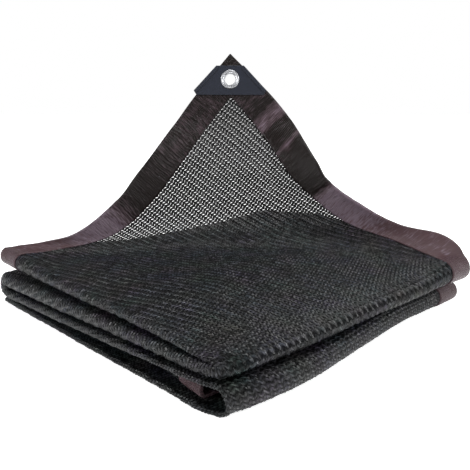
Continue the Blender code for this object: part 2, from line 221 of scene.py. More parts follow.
def onePoint(along, u, face):
    # the same for a single place, as plain numbers
    return [float(np.ravel(part)[0]) for part in sheetPoint(along, np.full(1, u), face)]


# One row of the folded cloth, at a place along its length
def clothRow(along, across):
    # across: 0 to 1 is the outer sheet, 1 to 2 the doubled edge, 2 to 3 the inner sheet
    inset = insetOf(along, onePoint(along, packet["leanIn"], 0)[0])
    (vOut, zOut), (vIn, zIn) = (onePoint(along, inset, face) for face in (0, 1))
    gap = math.hypot(vOut - vIn, zOut - zIn) / 2
    edge = inset + gap * packet["nose"]
    points = np.zeros((len(across), 3))
    for face, chosen in ((0, across <= 1), (1, across >= 2)):
        share = across[chosen] if face == 0 else 3 - across[chosen]
        u = side + (edge - side) * share
        points[chosen] = np.stack(np.broadcast_arrays(u, *sheetPoint(along, u, face)), axis=1)
    rounded = (across > 1) & (across < 2)
    angle = (across[rounded] - 1) * math.pi
    (vOut, zOut), (vIn, zIn) = (onePoint(along, edge, face) for face in (0, 1))
    blend = (1 + np.cos(angle)) / 2
    points[rounded] = np.stack([
        edge - gap * packet["nose"] * np.sin(angle),
        vOut * blend + vIn * (1 - blend),
        zOut * blend + zIn * (1 - blend),
    ], axis=1)
    u, v, z = points.T
    x, y = toPlan(u, v)
    lean = np.maximum((u + v - side) / side, 0)
    points = np.stack([x + packet["backSkew"] * lean ** 2, y, z], axis=1)
    lifted = (across <= 1) & (u + v > side)
    if along <= 1 and lifted.any():
        points[lifted] = liftedPoints(u[lifted], v[lifted])
    return points


# The fine surface: points and outward directions on a grid, with creases laid into it
fineCloth = dict(layerStep=0.0045, turnSteps=14, noseSteps=12)


def fineStations(count, spans, shortSpans):
    steps = [shortSpans if span % 2 else count for span in range(spans)]
    stations = [span + i / steps[span] for span in range(spans) for i in range(steps[span])]
    return np.array(stations + [float(spans)])


layerSteps = round(side / fineCloth["layerStep"])
alongs = fineStations(layerSteps, packet["spans"], fineCloth["turnSteps"])
acrosses = fineStations(layerSteps, 3, fineCloth["noseSteps"])
surface = np.array([clothRow(along, acrosses) for along in alongs])


def unit(vectors):
    return vectors / np.maximum(np.linalg.norm(vectors, axis=-1, keepdims=True), 1e-9)


def outwardOf(points):
    run = np.gradient(points, axis=0)
    turn = np.gradient(points, axis=1)
    return unit(np.cross(turn, run))


# The second sheet stands up along its two back edges, where the lifted corner has drawn it with it
secondSheet = dict(
    rightShares=(0.0, 0.15, 0.40, 0.65, 0.80, 1.0),          # from the right corner to the back one
    rightRise=(0.0, 0.006, 0.018, 0.022, 0.016, 0.009),
    rightStart=0.05,
    leftShares=(0.0, 0.15, 0.30, 0.45, 0.60, 0.85, 1.0),     # from the left corner to the back one
    leftRise=(0.009, 0.010, 0.004, -0.001, -0.003, -0.003, 0.0),
    leftStart=0.025,
    reach=0.10,
)
alongGrid, acrossGrid = np.meshgrid(alongs, acrosses, indexing="ij")
secondU = side * (acrossGrid - 2)
secondV = side * (1 - alongGrid)
rise = 0
for edge, place, fromEdge in (("right", secondV, side - secondU), ("left", secondU, side - secondV)):
    drawn = np.interp(place / side, secondSheet[edge + "Shares"], secondSheet[edge + "Rise"])
    drawn = drawn * np.exp(-(fromEdge / secondSheet["reach"]) ** 2)
    rise = rise + drawn * smoothStep((secondU + secondV - side) / secondSheet[edge + "Start"])
surface[..., 2] += np.where((alongGrid <= 1) & (acrossGrid >= 2), rise, 0.0)

# The top layer is soft: it sinks towards its two front edges and stands a little proud between them
slump = dict(
    foldDrop=0.0060, foldReach=0.060, edgeDrop=0.0036, edgeReach=0.055, innerShare=0.45,
    cornerFrom=0.70, cornerReach=0.24,       # it doesn't sink at the left and right corners
    pillow=0.0050, pillowAt=(0.115, 0.115), pillowReach=0.075, pillowBorder=0.05, liftReach=0.06,
)
spanAlong = np.minimum(alongGrid.astype(int), packet["spans"] - 1)
gridU = np.clip(np.where(acrossGrid <= 1, side * (1 - acrossGrid), secondU), 0, side)
gridV = np.clip(secondV, 0, side)


def sinking(edge, fromEdge, alongEdge):
    near = 1 - smoothStep(fromEdge / slump[edge + "Reach"])
    atCorner = smoothStep((alongEdge / side - slump["cornerFrom"]) / slump["cornerReach"])
    return slump[edge + "Drop"] * (near * (1 - atCorner))


drop = sinking("fold", gridV, gridU) + sinking("edge", gridU, gridV)
drop = drop * (1 - (1 - slump["innerShare"]) * smoothStep(np.clip(acrossGrid - 1, 0, 1)))
away = np.hypot(gridU - slump["pillowAt"][0], gridV - slump["pillowAt"][1]) / slump["pillowReach"]
pillow = slump["pillow"] * np.exp(-away ** 2) * (acrossGrid <= 1)
pillow = pillow * smoothStep(gridV / slump["pillowBorder"]) * smoothStep(gridU / slump["pillowBorder"])
flatShare = 1 - smoothStep((gridU + gridV - side) / slump["liftReach"])
turnShare = np.where(spanAlong == 1, smoothStep(2 - alongGrid), 0.0)        # runs out round the first turn
surface[..., 2] -= np.where(alongGrid <= 1, (drop - pillow) * flatShare, drop * turnShare)

# The top fold is rounded off, but hardly at the right corner
crest = dict(rounds=30, before=0.10, after=0.34, share=0.5, cornerFrom=0.74, cornerReach=0.20, cornerShare=0.85)
bend = np.exp(-((alongs - 1) / np.where(alongs < 1, crest["before"], crest["after"])) ** 2)[1:-1, None, None]
atCorner = smoothStep((gridU / side - crest["cornerFrom"]) / crest["cornerReach"])
bend = bend * (1 - crest["cornerShare"] * atCorner)[1:-1, :, None]
for _ in range(crest["rounds"]):
    surface[1:-1] += ((surface[:-2] + surface[2:]) / 2 - surface[1:-1]) * bend * crest["share"]

# The front corner of the lowest sheets lies a little to the right, with a lip beside it
frontCorner = dict(
    shift=0.0032, reach=0.10, low=0.004, high=0.020, lip=0.0038, lipPlace=0.024, lipReach=(0.030, 0.026),
)
beyondFront = surface[..., 1] + halfDiagonal
fromFront = np.hypot(surface[..., 0], beyondFront)
lowness = 1 - smoothStep((surface[..., 2] - frontCorner["low"]) / frontCorner["high"])
nearU = (surface[..., 0] + surface[..., 1] + halfDiagonal) / math.sqrt(2)
nearV = (beyondFront - surface[..., 0]) / math.sqrt(2)
reachU, reachV = frontCorner["lipReach"]
lipShare = np.exp(-(nearU / reachU) ** 2 - ((nearV - frontCorner["lipPlace"]) / reachV) ** 2)
surface[..., :2] -= (frontCorner["lip"] / math.sqrt(2) * lowness * lipShare)[..., None]
surface[..., 0] += frontCorner["shift"] * lowness * np.exp(-(fromFront / frontCorner["reach"]) ** 2)

# Where the lift begins the sheet bends over gently
softening = dict(rounds=36, reach=0.050, share=0.8)
lastRow, lastColumn = np.searchsorted(alongs, 1.0), np.searchsorted(acrosses, 1.0)
topSheet = surface[:lastRow + 1, :lastColumn + 1]
fromDiagonal = (gridU + gridV - side)[:lastRow + 1, :lastColumn + 1] / math.sqrt(2)
weight = np.exp(-(fromDiagonal / softening["reach"]) ** 2)[1:-1, 1:-1, None]
for _ in range(softening["rounds"]):
    mean = (topSheet[:-2, 1:-1] + topSheet[2:, 1:-1] + topSheet[1:-1, :-2] + topSheet[1:-1, 2:]) / 4
    topSheet[1:-1, 1:-1] += (mean - topSheet[1:-1, 1:-1]) * weight * softening["share"]
outward = outwardOf(surface)

# True distances over the cloth, along its length and across its width
stepAlong = np.linalg.norm(np.diff(surface, axis=0), axis=2)
stepAcross = np.linalg.norm(np.diff(surface, axis=1), axis=2)
lengthAt = np.concatenate([[0], np.cumsum(np.median(stepAlong, axis=1))])
widthAt = np.concatenate([[0], np.cumsum(np.median(stepAcross, axis=0))])
print("cloth surface", surface.shape, "length", round(float(lengthAt[-1]), 3), "width", round(float(widthAt[-1]), 3))

# Creases and slack in the lifted sheet and the top, in packet coordinates u, v (metres)
creases = (
    # from u v, to u v, width, height
    (0.350, 0.150, 0.235, 0.300, 0.010, 0.0011),
    (0.345, 0.205, 0.200, 0.150, 0.013, -0.0012),
    (0.300, 0.340, 0.225, 0.205, 0.009, 0.0009),
    (0.235, 0.345, 0.120, 0.235, 0.014, 0.0012),
    (0.155, 0.345, 0.060, 0.250, 0.012, -0.0010),
    (0.345, 0.080, 0.190, 0.060, 0.016, 0.0013),
    (0.250, 0.020, 0.120, 0.150, 0.018, -0.0008),
    (0.030, 0.040, 0.150, 0.160, 0.016, 0.0008),
)
slack = dict(
    waves=(                  # height, then radians a metre along and across and the start of two waves that cross
        (0.0011, (41, 23, 1.3), (-17, 29, 0.4)),
        (0.0005, (97, -61, 0.0), (37, 83, 2.1)),
    ),
    lapse=0.35,              # share of it inside the packet
    tipFlat=0.060, tipReach=0.045,       # the clip holds the tip flat
)
p = np.interp(alongGrid, alongs, lengthAt)
q = np.interp(acrossGrid, acrosses, widthAt)
slackDepth = 0
for height, *crossing in slack["waves"]:
    one, other = (np.sin(perLength * p + perWidth * q + start) for perLength, perWidth, start in crossing)
    slackDepth = slackDepth + height * (one * other)
onTop = (alongGrid <= 1) & (acrossGrid <= 1)
for uA, vA, uB, vB, width, height in creases:
    run = np.array((uB - uA, vB - vA))
    reach = float(np.linalg.norm(run))
    run = run / reach
    fromU = side * (1 - acrossGrid) - uA
    fromV = side * (1 - alongGrid) - vA
    s = fromU * run[0] + fromV * run[1]
    d = fromU * -run[1] + fromV * run[0]
    ends = smoothStep(s / reach * 3) * smoothStep((reach - s) / reach * 3)
    slackDepth = slackDepth + onTop * height * np.exp(-(d / width) ** 2) * ends
isBottom = (spanAlong == bottomSpan) & (acrossGrid < 1.2)
inside = np.where((alongGrid > 1) | (acrossGrid > 1), slack["lapse"], 1.0)
nearTip = 1 - smoothStep((np.hypot(alongGrid, acrossGrid) * side - slack["tipFlat"]) / slack["tipReach"])
slackDepth = slackDepth * inside * (1 - nearTip) * np.where(isBottom, 0.0, 1.0)
surface = surface + outward * slackDepth[..., None]
surface[..., 2] = np.maximum(surface[..., 2], onFloor)
outward = outwardOf(surface)


# Any place on the cloth, by interpolation in the fine grid, lifted off its middle
def clothAt(along, across, lift=0.0):
    along = np.clip(np.asarray(along, float), 0, alongs[-1])
    across = np.clip(np.asarray(across, float), 0, acrosses[-1])
    i = np.clip(np.searchsorted(alongs, along, side="right") - 1, 0, len(alongs) - 2)
    j = np.clip(np.searchsorted(acrosses, across, side="right") - 1, 0, len(acrosses) - 2)
    a = ((along - alongs[i]) / (alongs[i + 1] - alongs[i]))[..., None]
    b = ((across - acrosses[j]) / (acrosses[j + 1] - acrosses[j]))[..., None]

    def between(grid):
        near = grid[i, j] * (1 - b) + grid[i, j + 1] * b
        far = grid[i + 1, j] * (1 - b) + grid[i + 1, j + 1] * b
        return near * (1 - a) + far * a

    return between(surface) + unit(between(outward)) * np.asarray(lift, float)[..., None]


def placed(data):
    # a new object of the same name, at the origin
    thing = bpy.data.objects.new(data.name, data)
    bpy.context.scene.collection.objects.link(thing)
    return thing


def gridMesh(name, points, keep=None, flatMap=None, closed=False):
    rows, columns = points.shape[:2]
    index = np.arange(rows * columns).reshape(rows, columns)
    if closed:
        index = np.concatenate([index, index[:, :1]], axis=1)
    a, b = index[:-1, :-1], index[:-1, 1:]
    c, d = index[1:, 1:], index[1:, :-1]
    quads = np.stack([a, b, c, d], axis=-1)
    if keep is not None:
        quads = quads[keep]
    quads = quads.reshape(-1, 4)
    mesh = bpy.data.meshes.new(name)
    mesh.from_pydata(points.reshape(-1, 3).tolist(), [], quads.tolist())
    if flatMap is not None:
        layer = mesh.uv_layers.new(name="flat")
        corners = np.empty(len(mesh.loops), dtype=np.int32)
        mesh.loops.foreach_get("vertex_index", corners)
        layer.data.foreach_set("uv", flatMap.reshape(-1, 2)[corners].ravel())
    mesh.update()
    used = bmesh.new()
    used.from_mesh(mesh)
    bmesh.ops.delete(used, geom=[v for v in used.verts if not v.link_faces], context="VERTS")
    used.to_mesh(mesh)
    used.free()
    mesh.shade_smooth()
    return placed(mesh)


def flatCoordinates(along, across):
    return np.stack([np.interp(across, acrosses, widthAt), np.interp(along, alongs, lengthAt)], axis=-1)


# Materials and node trees
def setInputs(tree, node, inputs):
    # each input is a value, or another node's output to link
    for key, value in inputs.items():
        if isinstance(value, bpy.types.NodeSocket):
            tree.links.new(value, node.inputs[key])
        else:
            node.inputs[key].default_value = value


def addNode(tree, kind, inputs=None, **settings):
    node = tree.nodes.new(kind)
    node.location = (220 * len(tree.nodes), 0)
    for key, value in settings.items():
        setattr(node, key, value)
    setInputs(tree, node, inputs or {})
    return node


def maths(tree, operation, *values):
    return addNode(tree, "ShaderNodeMath", dict(enumerate(values)), operation=operation).outputs[0]


def noise(tree, place, output="Fac", **inputs):
    return addNode(tree, "ShaderNodeTexNoise", {"Vector": place, **inputs}).outputs[output]


def multiplied(tree, share, first, second):
    mix = addNode(tree, "ShaderNodeMix", {0: share, 6: first, 7: second}, data_type="RGBA", blend_type="MULTIPLY")
    return mix.outputs[2]


def colorRamp(tree, field, *stops):
    ramp = addNode(tree, "ShaderNodeValToRGB", {"Fac": field})
    elements = ramp.color_ramp.elements
    for k, (position, color) in enumerate(stops):
        stop = elements[k] if k < 2 else elements.new(position)
        stop.position, stop.color = position, color
    return ramp.outputs["Color"]


def bumped(tree, height, strength, distance, **normal):
    inputs = {"Height": height, "Strength": strength, "Distance": distance, **normal}
    return addNode(tree, "ShaderNodeBump", inputs).outputs["Normal"]


def newMaterial(name):
    material = bpy.data.materials.new(name)
    material.use_nodes = True
    return material, material.node_tree


def finished(material, color, look, normal, **more):
    inputs = {"Base Color": color, "Roughness": look["roughness"], "Specular IOR Level": look["specular"]}
    tree = material.node_tree
    setInputs(tree, tree.nodes["Principled BSDF"], {**inputs, "Normal": normal, **more})
    return material


yarnLook = dict(
    dark=(0.0014, 0.0016, 0.0019, 1), pale=(0.0520, 0.0550, 0.0620, 1), roughness=0.33, specular=0.20,
    glintFleck=190.0, glintFleckFrom=0.40, glintFleckTo=0.66, patch=32.0, patchShare=0.6, bump=(0.5, 0.0003),
    valleyShade=0.20, crest=2.5,                          # painted highlight: the tops of the loops are coloured lighter, as they catch the light, and the rest darker as painted shade
    liftFrom=0.062, liftTo=0.092, liftShade=0.22,    # the lifted net stands against the light
)


def yarnMaterial(name, look):
    material, tree = newMaterial(name)
    spot = addNode(tree, "ShaderNodeTexCoord").outputs["Object"]
    # painted glints: random pale flecks on the black yarn, from a noise that also bumps it
    glintFleck = noise(tree, spot, Scale=look["glintFleck"], Detail=4.0, Roughness=0.72)
    patch = noise(tree, spot, "Color", Scale=look["patch"])
    color = colorRamp(tree, glintFleck, (look["glintFleckFrom"], look["dark"]), (look["glintFleckTo"], look["pale"]))
    color = multiplied(tree, look["patchShare"], color, patch)
    # painted highlight and shade: the yarn is coloured lighter on the top of each loop, from its crest attribute, and
    # darker between
    sheenOnTops = addNode(tree, "ShaderNodeAttribute", attribute_name="crest").outputs["Fac"]
    sheen = maths(tree, "MULTIPLY_ADD", sheenOnTops, look["crest"], look["valleyShade"])
    # painted shade: the lifted net is coloured darker the higher it stands, as it is against the light
    height = addNode(tree, "ShaderNodeSeparateXYZ", {0: spot}).outputs[2]
    shade = addNode(tree, "ShaderNodeMapRange", {
        "Value": height, "From Min": look["liftFrom"], "From Max": look["liftTo"],
        "To Min": 1.0, "To Max": look["liftShade"],
    }).outputs["Result"]
    color = multiplied(tree, 1.0, color, maths(tree, "MULTIPLY", sheen, shade))
    return finished(material, color, look, bumped(tree, glintFleck, *look["bump"]))


netYarn = yarnMaterial("netYarn", yarnLook)
# the net's own black, coloured darker than the yarn as painted shade in the gaps between the loops
netGround = yarnMaterial("netGround", dict(
    yarnLook, dark=(0.0040, 0.0043, 0.0050, 1), pale=(0.0130, 0.0138, 0.0155, 1), roughness=0.70, specular=0.05,
    valleyShade=0.9,
))

# Ground of the net: the whole folded sheet but the top one, which is all yarn
net = dict(flat=(0.70, 1.80), openTo=0.93)
skipTop = (alongs[:-1][:, None] < net["openTo"]) & (acrosses[:-1][None, :] < 1.0 - 1e-6)
netSheet = gridMesh("netSheet", surface, keep=~skipTop, flatMap=flatCoordinates(alongGrid, acrossGrid))
netSheet.data.materials.append(netGround)
print("net sheet", len(netSheet.data.polygons), "faces")

# Knit: one repeat is two courses of a pillar chain with the threads that cross to the next chain
knit = dict(
    course=0.0038, wale=0.0034,
    stations=(-0.5, -0.15, 0.2, 0.5, 0.8, 1.15, 1.5),     # in courses
    sway=0.00062, chainWidth=0.00146, widthChange=0.00030, chainHeight=0.00046,
    rise=(0.00026, 0.00030), tilt=0.00020,
    threadWidth=(0.00087, 0.00076), threadHeight=0.00036, threadLevel=-0.00016,
    shear=0.26,              # how far each chain is behind its neighbour, for its distance from it
    wobble=0.00050, wobbleScale=210.0,
    lift=0.00028,            # off the ground sheet's middle
    margin=0.006,            # the patch of cloth that carries a piece goes on this far past it
    sharpness=1.4,           # how short the painted highlight on the top of each loop is
    layRise=0.4,             # on the ground sheet the loops rise only to this share, and the highlight painted on their tops is weaker
    layTops=(0.26, 0.36),
)


pitch = 2 * knit["course"], knit["wale"]


def strand(vertices, faces, path, widths, height, closed, alongX=True):
    # it has a lozenge section, or only the roof of one where it lies on the ground sheet
    ring = 4 if closed else 3
    first = len(vertices)
    for (x, y, z), width in zip(path, widths):
        wideX, wideY = (0, width) if alongX else (width, 0)
        section = [(x - wideX, y - wideY, z), (x, y, z + height), (x + wideX, y + wideY, z), (x, y, z - height)]
        vertices += section[:ring]
    for base in range(first, first + ring * (len(path) - 1), ring):
        for c in range(ring if closed else ring - 1):
            d = (c + 1) % ring
            face = (base + d, base + ring + d, base + ring + c, base + c)
            faces.append(face if alongX else face[::-1])


def knitCell(name, closed):
    vertices, faces = [], []
    course, wale = knit["course"], knit["wale"]
    at = np.array(knit["stations"])
    cosine = np.cos(math.pi * at)
    sway = -knit["sway"] * np.sin(math.pi * at)
    widths = knit["chainWidth"] - knit["widthChange"] * cosine
    second = knit["rise"][1] * (1.0 if closed else knit["layRise"])
    loops = np.cos(2 * math.pi * at) * knit["rise"][0] + cosine * second + np.sin(2 * math.pi * at) * knit["tilt"]
    strand(vertices, faces, list(zip(at * course, sway, loops)), widths, knit["chainHeight"], closed)
    # painted highlight: the crest attribute marks the top of each loop, where the yarn's colour is made lighter
    sheenOnTops = ((1 + cosine) / 2) ** knit["sharpness"]
    paintedCrestSheen = np.zeros(len(vertices))
    paintedCrestSheen[1::4 if closed else 3] = sheenOnTops if closed else knit["layTops"][0] + knit["layTops"][1] * sheenOnTops
    for k, width in enumerate(knit["threadWidth"]):
        # a thread to the next chain
        x, z = (k + 0.5) * course, knit["threadLevel"]
        path = ((x, 0.0, z), (x - knit["shear"] * wale, wale, z))
        strand(vertices, faces, path, (width, width), knit["threadHeight"], closed, alongX=False)
    mesh = bpy.data.meshes.new(name)
    mesh.from_pydata(vertices, [], faces)
    mesh.update()
    paintedCrestSheen = np.concatenate([paintedCrestSheen, np.zeros(len(vertices) - len(paintedCrestSheen))])
    mesh.attributes.new("crest", "FLOAT", "POINT").data.foreach_set("value", paintedCrestSheen)
    return placed(mesh)


def knitTree():
    # yarn is laid out flat, for so many courses and wales, then carried onto the cloth by its flat map
    tree = bpy.data.node_groups.new("knitOnCloth", "GeometryNodeTree")
    for name, kind in dict(Cloth="Geometry", Cell="Object", Courses="Int", Wales="Int", Start="Vector").items():
        tree.interface.new_socket(name=name, in_out="INPUT", socket_type="NodeSocket" + kind)
    tree.interface.new_socket(name="Yarn", in_out="OUTPUT", socket_type="NodeSocketGeometry")

    def node(kind, inputs=None, output=0, **settings):
        return addNode(tree, kind, inputs, **settings).outputs[output]

    def vector(operation, *values, **named):
        return node("ShaderNodeVectorMath", {**dict(enumerate(values)), **named}, operation=operation)

    def combined(*parts):
        return node("ShaderNodeCombineXYZ", dict(enumerate(parts)))

    def separated(field):
        return addNode(tree, "ShaderNodeSeparateXYZ", {0: field}).outputs

    def attribute(name, kind):
        return node("GeometryNodeInputNamedAttribute", {"Name": name}, "Attribute", data_type=kind)

    given = addNode(tree, "NodeGroupInput").outputs
    here = node("GeometryNodeInputPosition")
    counts = given["Courses"], given["Wales"]
    sizes = [maths(tree, "MULTIPLY", maths(tree, "SUBTRACT", count, 1), step) for count, step in zip(counts, pitch)]
    extent = {"Size X": sizes[0], "Size Y": sizes[1], "Vertices X": counts[0], "Vertices Y": counts[1]}
    grid = node("GeometryNodeMeshGrid", extent, "Mesh")
    # from the grid's middle to flat cloth coordinates, with each chain a little behind the last
    corner = combined(*(maths(tree, "MULTIPLY", size, 0.5) for size in sizes))
    spot = separated(vector("ADD", vector("ADD", here, corner), given["Start"]))
    behind = maths(tree, "MODULO", maths(tree, "MULTIPLY", spot[1], knit["shear"]), pitch[0])
    start = combined(maths(tree, "SUBTRACT", spot[0], behind), spot[1])
    starts = node("GeometryNodeSetPosition", {"Geometry": grid, "Position": start})
    cell = node("GeometryNodeObjectInfo", {"Object": given["Cell"]}, "Geometry")
    yarn = node("GeometryNodeInstanceOnPoints", {"Points": starts, "Instance": cell})
    yarn = node("GeometryNodeRealizeInstances", {"Geometry": yarn})

    # a little uneven, as knitting is
    uneven = noise(tree, here, "Color", Scale=knit["wobbleScale"], Detail=1.0)
    offset = vector("SCALE", vector("SUBTRACT", uneven, (0.5, 0.5, 0.5)), Scale=knit["wobble"])
    flat = separated(vector("ADD", here, vector("MULTIPLY", offset, (2.0, 2.0, 2.4))))
    flatPlace = combined(flat[0], flat[1])
    flatMap = attribute("flat", "FLOAT_VECTOR")

    def sampled(field):
        inputs = {"Mesh": given["Cloth"], "Value": field, "Source UV Map": flatMap, "Sample UV": flatPlace}
        return addNode(tree, "GeometryNodeSampleUVSurface", inputs, data_type="FLOAT_VECTOR").outputs

    onCloth = sampled(here)
    facing = sampled(node("GeometryNodeInputNormal"))["Value"]
    rise = vector("SCALE", facing, Scale=maths(tree, "ADD", flat[2], knit["lift"]))
    held = {"Geometry": yarn, "Name": "held", "Value": onCloth["Is Valid"]}
    yarn = node("GeometryNodeStoreNamedAttribute", held, data_type="BOOLEAN", domain="POINT")
    yarn = node("GeometryNodeSetPosition", {"Geometry": yarn, "Position": vector("ADD", onCloth["Value"], rise)})
    missed = node("FunctionNodeBooleanMath", {0: attribute("held", "BOOLEAN")}, operation="NOT")
    yarn = node("GeometryNodeDeleteGeometry", {"Geometry": yarn, "Selection": missed}, domain="POINT")
    yarn = node("GeometryNodeSetMaterial", {"Geometry": yarn, "Material": netYarn})
    addNode(tree, "NodeGroupOutput", {0: yarn})
    return tree


knitOnCloth = knitTree()
openCell = knitCell("openCell", True)      # for the sheet that is all yarn
layCell = knitCell("layCell", False)       # for yarn that lies on the ground sheet


def flattened(thing, name):
    # the evaluated result of a piece's modifiers as a plain mesh, in a new object
    mesh = bpy.data.meshes.new_from_object(thing.evaluated_get(bpy.context.evaluated_depsgraph_get()))
    bpy.data.objects.remove(thing, do_unlink=True)
    mesh.name = name
    return placed(mesh)


def knitPiece(name, cell, alongRange, acrossRange, otherFace=False, keep=None):
    # a patch of the fine surface carries the yarn, and is used up by it
    low, high = (
        np.array((np.interp(across, acrosses, widthAt), np.interp(along, alongs, lengthAt)))
        for along, across in zip(alongRange, acrossRange)
    )
    margin = 1.5 * np.array(pitch) + knit["margin"]
    rows, columns = (
        np.where((places >= low[k] - margin[k]) & (places <= high[k] + margin[k]))[0]
        for k, places in ((1, lengthAt), (0, widthAt))
    )
    patch = np.ix_(rows, columns)
    flatMap = flatCoordinates(alongGrid[patch], acrossGrid[patch])
    points = surface[patch]
    kept = None if keep is None else keep(alongGrid[patch], acrossGrid[patch])[:-1, :-1]
    if otherFace:
        points, flatMap = points[:, ::-1], flatMap[:, ::-1]
        kept = None if kept is None else kept[:, ::-1]
    carrier = gridMesh(name + "Cloth", points, flatMap=flatMap, keep=kept)
    first = np.ceil(low / pitch)
    count = np.ceil(high / pitch) - first
    modifier = carrier.modifiers.new("knit", "NODES")
    modifier.node_group = knitOnCloth
    values = dict(Cell=cell, Courses=int(count[0]), Wales=int(count[1]), Start=(*(first * pitch), 0.0))
    for item in knitOnCloth.interface.items_tree:
        if item.name in values:
            modifier[item.identifier] = values[item.name]
    yarn = flattened(carrier, name)
    spots = np.empty(3 * len(yarn.data.vertices))
    yarn.data.vertices.foreach_get("co", spots)
    spots[2::3] = np.maximum(spots[2::3], onFloor)      # pressed flat on the floor
    yarn.data.vertices.foreach_set("co", spots)
    print(name, len(yarn.data.polygons), "faces")
    return yarn


tapeShare = packet["tapeWidth"] / side
knitFrom = tapeShare - 0.012 / side       # the yarn goes on this far, under the tapes
lastSpan = packet["spans"]
knitTo = lastSpan - knitFrom


def behindDiagonal(along, across):
    return (across - 2) + (1 - along) > 0.90


knitPieces = [
    knitPiece("knitLifted", openCell, (knitFrom, 0.56), (knitFrom, 1.0)),
    knitPiece("knitTop", openCell, (0.56, net["openTo"]), (knitFrom, 1.0)),
    knitPiece("knitSecond", layCell, (knitFrom, 1.0), (2.06, 3 - knitFrom), otherFace=True, keep=behindDiagonal),
    knitPiece("knitEdgeTop", layCell, (knitFrom, 1.0), (1.0, 2.05)),
    knitPiece("knitEdgeLow", layCell, (1.0, knitTo), (0.94, 2.06)),
    knitPiece("knitFoldTop", layCell, (net["openTo"], 2.10), (knitFrom, 1.0)),
    knitPiece("knitFoldLow", layCell, (4.90, 6.06), (knitFrom, 0.94)),
    knitPiece("knitBackTop", layCell, (2.90, 4.10), (knitFrom, 0.94)),
    knitPiece("knitBackLow", layCell, (6.96, 8.04), (knitFrom, 0.94)),
]

# Bindings: one folded tape round each edge, crinkled, over the net's edge
tape = dict(
    ridge=2050.0,            # radians a metre of the small ridges across the tape
    ridgeBend=0.0008, ridgeSlant=0.15,
    stepLifted=0.0008, stepPacket=0.0034, across=15, lip=0.0004, roundness=0.0010, overlap=0.0020,
    rib=1450.0, ribDepth=0.00016, ribShares=(0.62, 0.95, 1.30, 1.60),
    gap=0.0015, plainGap=0.004,      # left free at a tape's ends, as shares of the side
    endStart=7.3,                    # where the end tapes are on the crinkles' waves
    tuckedRidge=0.00022,
)

# How the two lifted tapes go, by share of their length from the tip: depth of the ridges, depth of the folds, tone,
# which is partly the tape's own colour and partly painted sheen on its creases
rightTape = np.array((
    (0.00, 0.00008, 0.0000, 0.03), (0.16, 0.00014, 0.0002, 0.18), (0.20, 0.00020, 0.0008, 0.08),
    (0.215, 0.00028, 0.0012, 0.26), (0.232, 0.00036, 0.0012, 0.40), (0.255, 0.00032, 0.0006, 0.34),
    (0.27, 0.00014, 0.0003, 0.06), (0.33, 0.00014, 0.0005, 0.08), (0.342, 0.00030, 0.0008, 0.34),
    (0.355, 0.00014, 0.0004, 0.06),
    (0.49, 0.00008, 0.0003, 0.02), (0.52, 0.00026, 0.0010, 0.12), (0.55, 0.00016, 0.0008, 0.54),
    (0.66, 0.00010, 0.0003, 0.58), (0.76, 0.00006, 0.0003, 0.78), (1.00, 0.00006, 0.0003, 0.84),
))
leftTape = np.array((
    (0.00, 0.00008, 0.0000, 0.03), (0.16, 0.00022, 0.0002, 0.16), (0.20, 0.00044, 0.0004, 0.16),
    (0.30, 0.00060, 0.0005, 0.15), (0.42, 0.00056, 0.0004, 0.12), (0.48, 0.00014, 0.0003, 0.02),
    (0.55, 0.00010, 0.0003, 0.03), (0.61, 0.00028, 0.0007, 0.24), (0.66, 0.00018, 0.0008, 0.54),
    (0.76, 0.00008, 0.0003, 0.58), (0.84, 0.00006, 0.0003, 0.78), (1.00, 0.00006, 0.0003, 0.84),
))
# the tapes inside the packet: depth of the ridges, depth of the folds, and tone, partly painted sheen
packetTape = (0.00006, 0.0002, 0.80)
shadedTone = 0.24          # of the second sheet's tapes


def tapeTable(table, s, column):
    lifted = np.interp(s, table[:, 0], table[:, column])
    return np.where(s <= 1.0, lifted, packetTape[column - 1])


def crinkleField(along, across, ridgeDepth, foldDepth):
    # short ridges across the tape, broken up, and a few larger folds that slant over it
    a = along * side
    b = across * side

    def wave(perAlong, perAcross, start=0.0):
        return np.sin(perAlong * a + perAcross * b + start)

    bent = a + tape["ridgeBend"] * wave(40, 190) + tape["ridgeSlant"] * b
    ridges = np.sin(tape["ridge"] * bent + 2.2 * wave(230, 0)) + 0.6 * np.sin(0.62 * tape["ridge"] * bent + 1.1)
    broken = 0.5 + 0.5 * wave(130, 170, 1.1) * wave(61, -150)
    folds = wave(420, 110, 0.6) * (0.6 + 0.4 * wave(150, -60))
    ribShare = np.interp(along, tape["ribShares"], (0.0, 1.0, 1.0, 0.3))
    ribs = tape["ribDepth"] * ribShare * np.sin(tape["rib"] * b + 1.2 * np.sin(24 * a))
    return ridgeDepth * ridges * broken + foldDepth * 0.6 * folds + ribs


def tapeProfile(width):
    # from the outer side's border over the edge to the other side's border: share inward, level
    level = packet["tapeLevel"]
    inward = width * np.linspace(1, 0, tape["across"] + 1)
    angles = np.linspace(math.pi / 2, -math.pi / 2, 7)[1:-1]
    edge = [(-math.cos(angle) * tape["roundness"] / side, level * math.sin(angle)) for angle in angles]
    outer = [(width, tape["lip"]), *((share, level) for share in inward)]
    inner = [*((share, -level) for share in inward[::-1]), (width, -tape["lip"])]
    return np.array(outer + edge + inner)


